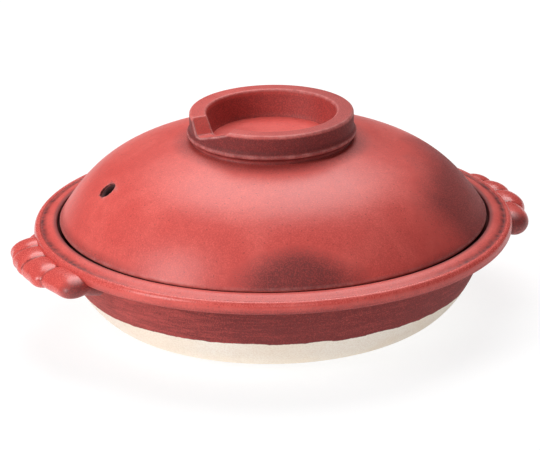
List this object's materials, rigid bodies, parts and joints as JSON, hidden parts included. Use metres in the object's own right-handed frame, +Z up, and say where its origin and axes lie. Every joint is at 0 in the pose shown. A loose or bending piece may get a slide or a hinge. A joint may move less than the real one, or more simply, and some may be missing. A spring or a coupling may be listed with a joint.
{
  "type": "clay pot",
  "caption": "Shallow red-glazed clay cooking pot with shell-shaped ears, a bare clay base and a domed lift-off lid with a steam hole and a notched ring knob.",
  "frame": {"origin": "on the table, under the middle of the flat foot", "axes": "+X along the line through both ears, +Z up through the knob, the steam hole and the knob's notch towards -X"},
  "size_m": [0.332, 0.298, 0.1304],
  "materials": {
    "bowl_glaze": "satin red glaze over clay, bare sandy clay below the glaze line",
    "ear_glaze": "satin red glaze, pooled in the grooves",
    "lid_glaze": "satin red glaze, thin and paler on the edges",
    "knob_glaze": "satin red glaze, thin and paler on the edges"
  },
  "bodies": {
    "pot": {"bowl": "bowl_glaze", "ear_left": "ear_glaze", "ear_right": "ear_glaze"},
    "cover": {"lid": "lid_glaze", "knob_ring": "knob_glaze"}
  },
  "joints": [
    {"name": "lid_lift", "type": "slide", "parent": "pot", "child": "cover", "axis": [0, 0, 1], "range_m": [0, 0.15]}
  ]
}
